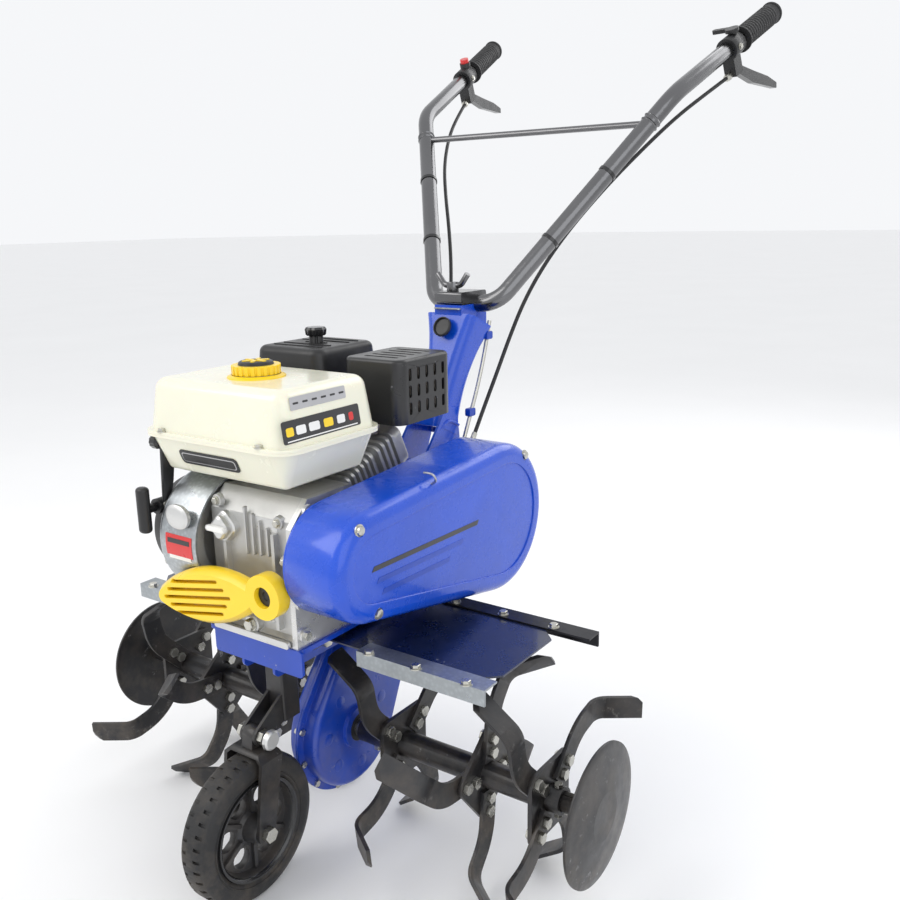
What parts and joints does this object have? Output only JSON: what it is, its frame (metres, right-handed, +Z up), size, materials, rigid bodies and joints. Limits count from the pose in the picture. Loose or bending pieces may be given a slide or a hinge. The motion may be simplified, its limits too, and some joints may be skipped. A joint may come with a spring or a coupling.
{
  "type": "mini cultivator",
  "caption": "Walk-behind mini cultivator: small engine over a chain case, tine rotors under fenders, folding front wheel and long twin-arm handlebar with grips and levers.",
  "frame": {"origin": "centre of the footprint box, on the ground plane that the lowest tine tips and the front wheel touch", "axes": "+Y towards the handlebar grips and the person, front wheel towards -Y, +X across the machine towards the belt cover, +Z up"},
  "size_m": [0.8, 1.1498, 1.1703],
  "materials": {
    "black_paint": "satin",
    "black_plastic": "fine grain",
    "case_blue": "gloss",
    "cast_aluminium": "cast",
    "cast_iron": "cast",
    "chrome": "polished",
    "galvanised": "satin",
    "navy": "satin",
    "red": "gloss",
    "rubber": "matte",
    "steel": "machined",
    "tank_cream": "gloss",
    "tyre": "matte",
    "yellow": "gloss",
    "zinc": "zinc plated"
  },
  "bodies": {
    "chassis": {"air_cleaner": "black_plastic", "bar_clamp": "zinc", "belt_cover": "case_blue", "blower_housing": "galvanised", "carburettor": "cast_aluminium", "chain_case_left": "case_blue", "chain_case_right": "case_blue", "chassis_bolts": "zinc", "column": "case_blue", "control_cables": "rubber", "crankcase": "cast_aluminium", "crankcase_cover": "cast_aluminium", "cylinder_head": "cast_aluminium", "drive_belt": "rubber", "drive_chain": "steel", "engine_frame": "case_blue", "fender_left": "navy", "fender_right": "navy", "fender_strips": "galvanised", "front_guard": "yellow", "guard_backplate": "case_blue", "muffler": "steel", "muffler_guard": "black_paint", "oil_seals": "rubber", "shaft_bearings": "steel", "starter_cover": "black_plastic", "tank_lower": "tank_cream", "tank_upper": "tank_cream", "wheel_post": "black_paint"},
    "tine_axle": {"output_shaft": "steel", "output_sprocket": "steel", "tine_hub_left": "black_paint", "tine_hub_right": "black_paint", "tine_blades_left": "black_paint", "tine_blades_right": "black_paint", "tine_fasteners": "zinc", "side_disc_left": "black_paint", "side_disc_right": "black_paint"},
    "input": {"input_shaft": "steel", "driven_pulley": "cast_iron"},
    "crank": {"crankshaft": "steel", "flywheel": "cast_aluminium", "drive_pulley": "cast_iron"},
    "idler_arm": {"idler_arm": "zinc"},
    "idler_pulley": {"idler_pulley": "steel"},
    "wheel_fork": {"wheel_fork": "black_paint", "wheel_pins": "zinc"},
    "wheel": {"wheel_rim": "black_plastic", "wheel_tyre": "tyre"},
    "handlebar": {"handlebar": "chrome", "handle_grips": "rubber", "lever_brackets": "black_plastic"},
    "forward_lever": {"forward_lever": "black_plastic"},
    "reverse_lever": {"reverse_lever": "black_plastic"},
    "throttle_lever": {"throttle_lever": "black_plastic"},
    "stop_button": {"stop_button": "red"},
    "tee_bolt": {"tee_bolt": "chrome"},
    "choke_lever": {"choke_lever": "black_plastic"},
    "fuel_cap": {"fuel_cap": "yellow"},
    "starter_grip": {"starter_grip": "black_plastic"}
  },
  "joints": [
    {"name": "tine_spin", "type": "hinge", "parent": "chassis", "child": "tine_axle", "pos_m": [0, -0.2949, 0.1508], "axis": [1, 0, 0], "continuous": true},
    {"name": "input_spin", "type": "hinge", "parent": "chassis", "child": "input", "pos_m": [0, -0.1299, 0.428], "axis": [1, 0, 0], "continuous": true},
    {"name": "crank_spin", "type": "hinge", "parent": "chassis", "child": "crank", "pos_m": [0, -0.3829, 0.44], "axis": [1, 0, 0], "continuous": true},
    {"name": "idler_swing", "type": "hinge", "parent": "chassis", "child": "idler_arm", "pos_m": [0.0975, -0.2199, 0.462], "axis": [1, 0, 0], "range_deg": [0, 8], "deforming": ["drive_belt"]},
    {"name": "idler_spin", "type": "hinge", "parent": "idler_arm", "child": "idler_pulley", "pos_m": [0.114, -0.28621, 0.49773], "axis": [1, 0, 0], "continuous": true},
    {"name": "wheel_fork_fold", "type": "hinge", "parent": "chassis", "child": "wheel_fork", "pos_m": [0, -0.4599, 0.212], "axis": [-1, 0, 0], "range_deg": [0, 100]},
    {"name": "wheel_spin", "type": "hinge", "parent": "wheel_fork", "child": "wheel", "pos_m": [0, -0.4799, 0.095], "axis": [1, 0, 0], "continuous": true},
    {"name": "handlebar_tilt", "type": "hinge", "parent": "chassis", "child": "handlebar", "pos_m": [0, 0.0231, 0.703], "axis": [1, 0, 0], "range_deg": [-15, 20], "deforming": ["control_cables"]},
    {"name": "forward_lever_squeeze", "type": "hinge", "parent": "handlebar", "child": "forward_lever", "pos_m": [0.259, 0.42828, 1.05221], "axis": [0.9887, -0.1498, 0], "range_deg": [0, 25], "stiffness_Nm_per_rad": 2, "springref_deg": -11.46},
    {"name": "reverse_lever_squeeze", "type": "hinge", "parent": "handlebar", "child": "reverse_lever", "pos_m": [-0.259, 0.42828, 1.05221], "axis": [0.9887, 0.1498, 0], "range_deg": [0, 25], "stiffness_Nm_per_rad": 2, "springref_deg": -11.46},
    {"name": "throttle_swing", "type": "hinge", "parent": "handlebar", "child": "throttle_lever", "pos_m": [0.25748, 0.41829, 1.10859], "axis": [-0.0666, -0.4393, 0.8958], "range_deg": [-35, 35]},
    {"name": "stop_button_press", "type": "slide", "parent": "handlebar", "child": "stop_button", "axis": [-0.0666, 0.4393, -0.8958], "range_m": [0, 0.003], "stiffness_N_per_m": 600, "springref_m": -0.002},
    {"name": "tee_bolt_turn", "type": "hinge", "parent": "chassis", "child": "tee_bolt", "pos_m": [0, -0.0089, 0.722], "axis": [0, 0, 1], "range_deg": [-180, 180]},
    {"name": "choke_swing", "type": "hinge", "parent": "chassis", "child": "choke_lever", "pos_m": [-0.1212, -0.2329, 0.549], "axis": [1, 0, 0], "range_deg": [0, 35]},
    {"name": "fuel_cap_turn", "type": "hinge", "parent": "chassis", "child": "fuel_cap", "pos_m": [-0.04, -0.3769, 0.655], "axis": [0, 0, 1], "range_deg": [0, 270]},
    {"name": "starter_pull", "type": "slide", "parent": "chassis", "child": "starter_grip", "axis": [0, -1, 0], "range_m": [0, 0.4], "stiffness_N_per_m": 20, "springref_m": -0.15}
  ],
  "couplings": [
    {"joint": "input_spin", "follows": "tine_spin", "ratio": 3.4444},
    {"joint": "idler_swing", "follows": "forward_lever_squeeze", "ratio": 0.32}
  ]
}
